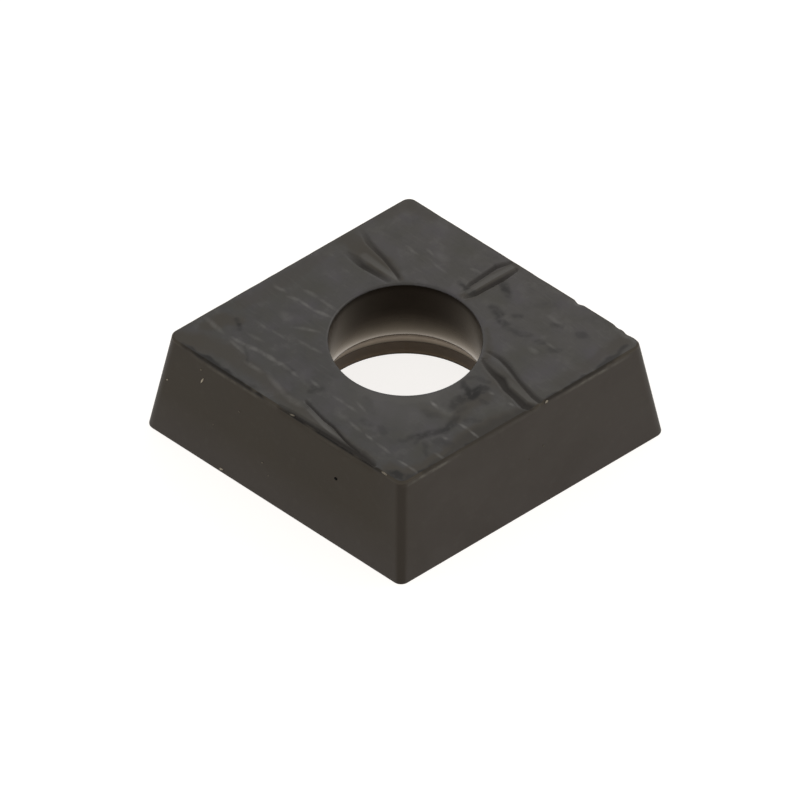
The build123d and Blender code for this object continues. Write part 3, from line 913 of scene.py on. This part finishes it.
def screwHoleWallMaterial():
    look = screwHoleWall
    material, tree, place = startMaterial("screwHoleWall")
    polished = addNode(tree, "Attribute", out="Fac", attribute_name="polished")
    corner = addNode(tree, "Attribute", out="Fac", attribute_name="corner")
    tones = [(polished, look["bellColour"]), (corner, look["cornerColour"])]
    colour = layTones(tree, hexColour(look["colour"]), tones)
    clouds = addNode(tree, "TexNoise", {"Vector": place, "Scale": look["cloudsPerMm"], "Detail": 3.0})
    darkest, palest = look["clouds"]
    uneven = addNode(tree, "MapRange", {0: clouds, 3: darkest, 4: palest})
    colour = addNode(tree, "VectorMath", {0: colour, 3: uneven}, operation="SCALE")
    roughness = addNode(tree, "MapRange", {0: polished, 3: look["roughness"], 4: look["bellRoughness"]})
    roughness = addNode(tree, "MapRange", {0: corner, 3: roughness, 4: look["cornerRoughness"]})
    mirror = {"Metallic": 1.0, "Specular Tint": hexColour(look["edgeTint"])}
    addSkin(tree, place, look["grainMm"], colour, roughness, **mirror)
    return material


for maker in (lappedSeatMaterial, sinteredFlankMaterial, screwHoleWallMaterial):
    insertPiece.data.materials.append(maker())
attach(insertPiece, "root")
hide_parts("insert")
print("coating made")

# Grains of dust on the piece: dry, chalky and mostly pale, with one black speck of soot
grit = {
    "paleColour": "#b9ae9b",
    "darkColour": "#030302",
    "roughness": 0.85,
    "specular": 0.1,
    "grainMm": 0.03,
    "speckleMm": 0.04,
    "speckle": (0.3, 0.7, 0.6, 1.0),  # pattern from and to, share of the pale colour from and to
    "tallest": 0.06,
    "lumpiness": 0.35,
    "lumpsPerGrain": 3,
    # (side, way along it, height, length, width, turn in degrees, paleness)
    "onFlanks": [
        (230, -4.97, 3.72, 0.3, 0.06, 70, 1.0), (230, -5.07, 4.2, 0.1, 0.07, 0, 0.3),
        (230, -6.63, 2.73, 0.1, 0.05, 30, 0.8), (230, -3.08, 3.37, 0.1, 0.05, 10, 0.25),
        (230, -4.24, 2.0, 0.09, 0.05, 80, 0.3), (230, -1.75, 1.68, 0.08, 0.05, 20, 0.4),
        (230, -1.41, 1.25, 0.07, 0.04, 50, 0.4), (230, -3.66, 0.16, 0.16, 0.08, 5, 1.0),
        (310, 1.8, 2.7, 0.09, 0.05, 60, 0.25), (310, 1.1, 2.43, 0.08, 0.05, 10, 0.2),
        (310, 2.12, 4.68, 0.14, 0.1, 20, 0.6), (230, 1.77, 3.11, 0.16, 0.14, 20, 0.0),
    ],
    # (x, y, height, length, width, turn, paleness)
    "onSeatEdge": [
        (-0.652, -6.966, 4.745, 0.3, 0.08, -42, 0.4),
        (-4.15, -4.0, 4.71, 0.22, 0.06, -30, 0.35),
    ],
}


def buildGrit():
    vertices, faces, paleness = [], [], []
    made = bmesh.new()
    bmesh.ops.create_icosphere(made, subdivisions=2, radius=0.5)
    ball = [vertex.co.copy() for vertex in made.verts]
    ballFaces = [[vertex.index for vertex in face.verts] for face in made.faces]
    made.free()

    def addGrain(place, out, along, length, width, turn, pale):
        across = out.cross(along)
        ahead = along * math.cos(math.radians(turn)) + across * math.sin(math.radians(turn))
        beside, tall = out.cross(ahead), min(width, grit["tallest"])
        first = len(vertices)
        for point in ball:
            bulge = 1 + grit["lumpiness"] * noise.noise(point * grit["lumpsPerGrain"] + place)
            offset = ahead * point.x * length + beside * point.y * width + out * point.z * tall
            vertices.append(place + offset * bulge)
        faces.extend([[first + index for index in face] for face in ballFaces])
        paleness.extend([pale] * len(ball))

    for side, along, height, length, width, turn, pale in grit["onFlanks"]:
        out, way = (Vector((*direction, 0)) for direction in sideFrame(side))
        place = out * (cuttingReach - height * flankLean) + way * along + Vector((0, 0, height))
        addGrain(place, (out + Vector((0, 0, flankLean))).normalized(), way, length, width, turn, pale)
    for x, y, height, length, width, turn, pale in grit["onSeatEdge"]:
        place = Vector((x, y, height))
        addGrain(place, Vector((0, 0, 1)), Vector((1, 0, 0)), length, width, turn, pale)
    mesh = bpy.data.meshes.new("dustGrains")
    mesh.from_pydata([tuple(point * mm) for point in vertices], [], faces)
    mesh.update()
    mesh.attributes.new("paleness", "FLOAT", "POINT").data.foreach_set("value", paleness)
    mesh.shade_smooth()
    piece = bpy.data.objects.new("dustGrains", mesh)
    bpy.context.scene.collection.objects.link(piece)
    return piece


def dustMaterial():
    material, tree, place = startMaterial("paleDust")
    pale = addNode(tree, "Attribute", out="Fac", attribute_name="paleness")
    speckle = addNode(tree, "TexNoise", {"Vector": place, "Scale": 1 / grit["speckleMm"]})
    sets, full, least, most = grit["speckle"]
    speckle = addNode(tree, "MapRange", {0: speckle, 1: sets, 2: full, 3: least, 4: most})
    share = addNode(tree, "Math", {0: pale, 1: speckle}, operation="MULTIPLY")
    colour = layTones(tree, hexColour(grit["darkColour"]), [(share, grit["paleColour"])])
    sheen = {"Specular IOR Level": grit["specular"]}
    addSkin(tree, place, grit["grainMm"], colour, grit["roughness"], **sheen)
    return material


gritPiece = buildGrit()
gritPiece.data.materials.append(dustMaterial())
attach(gritPiece, "root")
print("dust laid")

# Plain pale floor: white to the camera and in reflections, with the object's soft shadow kept
paperFloor = {
    "halfSide": 1.5,  # metres
    "below": 0.01 * mm,
    "paperColour": "#e6e5e2",
    "glowColour": "#fffcf9",
    "glow": 0.85,
    "shadowShare": 0.39,  # how much of the lit paper the camera sees over the glow
}


def whitePaperMaterial():
    material = bpy.data.materials.new("whitePaper")
    material.use_nodes = True
    tree = material.node_tree
    tree.nodes.clear()
    seen = addNode(tree, "LightPath", out="Is Camera Ray")
    for kind in ("Is Glossy Ray", "Is Transmission Ray"):
        seen = addNode(tree, "Math", {0: seen, 1: addNode(tree, "LightPath", out=kind)}, operation="MAXIMUM")
    strength = addNode(tree, "Math", {0: seen, 1: paperFloor["glow"]}, operation="MULTIPLY")
    glow = addNode(tree, "Emission", {"Color": hexColour(paperFloor["glowColour"]), "Strength": strength})
    paper = addNode(tree, "BsdfDiffuse", {"Color": hexColour(paperFloor["paperColour"])})
    none = addNode(tree, "BsdfDiffuse", {"Color": (0, 0, 0, 1)})
    hidden = addNode(tree, "Math", {0: seen, 1: 1 - paperFloor["shadowShare"]}, operation="MULTIPLY")
    shaded = addNode(tree, "MixShader", {0: hidden, 1: paper, 2: none})
    addNode(tree, "OutputMaterial", {"Surface": addNode(tree, "AddShader", {0: shaded, 1: glow})})
    return material


def buildFloor():
    side, below = paperFloor["halfSide"], -paperFloor["below"]
    mesh = bpy.data.meshes.new("paperFloor")
    corners = [(-side, -side, below), (side, -side, below), (side, side, below), (-side, side, below)]
    mesh.from_pydata(corners, [], [(0, 1, 2, 3)])
    mesh.materials.append(whitePaperMaterial())
    floor = bpy.data.objects.new("paperFloor", mesh)
    bpy.context.scene.collection.objects.link(floor)


buildFloor()
print("floor laid")

# A pale room all round, dimmer overhead, and one large soft box behind on the right
studio = {
    "roomLight": 1.2,
    "overheadLight": 0.7,
    "dimmerFrom": 0.76,  # heights on the sky, as the sine of the elevation
    "dimmestFrom": 0.95,
    "softBoxes": [
        # place and size in metres, watts, colour
        {"at": (0.3, 0.2, 0.35), "size": 0.3, "watts": 0.35, "colour": "#fffaf2"},
    ],
}


def buildStudio():
    world = bpy.data.worlds.new("paleRoom")
    bpy.context.scene.world = world
    world.use_nodes = True
    tree = world.node_tree
    tree.nodes.clear()
    direction = addNode(tree, "TexCoord", out="Generated")
    height = addNode(tree, "VectorMath", {0: direction, 1: (0, 0, 1)}, operation="DOT_PRODUCT", out="Value")
    ceiling = {1: studio["dimmerFrom"], 2: studio["dimmestFrom"], 3: studio["roomLight"]}
    level = addNode(tree, "MapRange", {0: height, **ceiling, 4: studio["overheadLight"]})
    seen = addNode(tree, "LightPath", out="Is Camera Ray")
    strength = addNode(tree, "Mix", {0: seen, 2: level, 3: 1.0}, data_type="FLOAT")
    addNode(tree, "OutputWorld", {"Surface": addNode(tree, "Background", {"Strength": strength})})
    for number, box in enumerate(studio["softBoxes"]):
        light = bpy.data.lights.new(f"softBox{number}", "AREA")
        light.shape = "SQUARE"
        light.size = box["size"]
        light.energy = box["watts"]
        light.color = hexColour(box["colour"])[:3]
        lamp = bpy.data.objects.new(light.name, light)
        lamp.location = box["at"]
        lamp.rotation_mode = "QUATERNION"
        lamp.rotation_quaternion = (-Vector(box["at"])).to_track_quat("-Z", "Y")
        bpy.context.scene.collection.objects.link(lamp)


buildStudio()

# Long lens from above the front, aimed a little above the foot of the screw hole
cameraPlace = {
    "azimuth": 0.977,
    "elevation": 46.274,
    "roll": 0.17,
    "distance": 0.6,  # metres
    "aimRight": -0.1967 * mm,
    "aimUp": 1.0064 * mm,
    "lens": 714.95,
    "sensor": 36,
    "nearest": 0.01,
    "farthest": 10,
}


def buildCamera():
    azimuth, elevation, roll = (math.radians(cameraPlace[name]) for name in ("azimuth", "elevation", "roll"))
    right = Vector((math.cos(azimuth), math.sin(azimuth), 0))
    level = Vector((math.sin(azimuth), -math.cos(azimuth), 0))
    back = level * math.cos(elevation) + Vector((0, 0, math.sin(elevation)))
    up = back.cross(right)
    place = back * cameraPlace["distance"]
    target = right * cameraPlace["aimRight"] + up * cameraPlace["aimUp"]
    back = (place - target).normalized()
    right = (right - back * right.dot(back)).normalized()
    up = back.cross(right)
    right, up = right * math.cos(roll) + up * math.sin(roll), up * math.cos(roll) - right * math.sin(roll)
    camera = bpy.data.cameras.new("camera")
    camera.lens = cameraPlace["lens"]
    camera.sensor_width = cameraPlace["sensor"]
    camera.clip_start, camera.clip_end = cameraPlace["nearest"], cameraPlace["farthest"]
    holder = bpy.data.objects.new("camera", camera)
    holder.matrix_world = Matrix.Translation(place) @ Matrix((right, up, back)).transposed().to_4x4()
    bpy.context.scene.collection.objects.link(holder)
    bpy.context.scene.camera = holder


buildCamera()
bpy.context.scene.view_settings.view_transform = "Standard"
print("studio and camera ready")
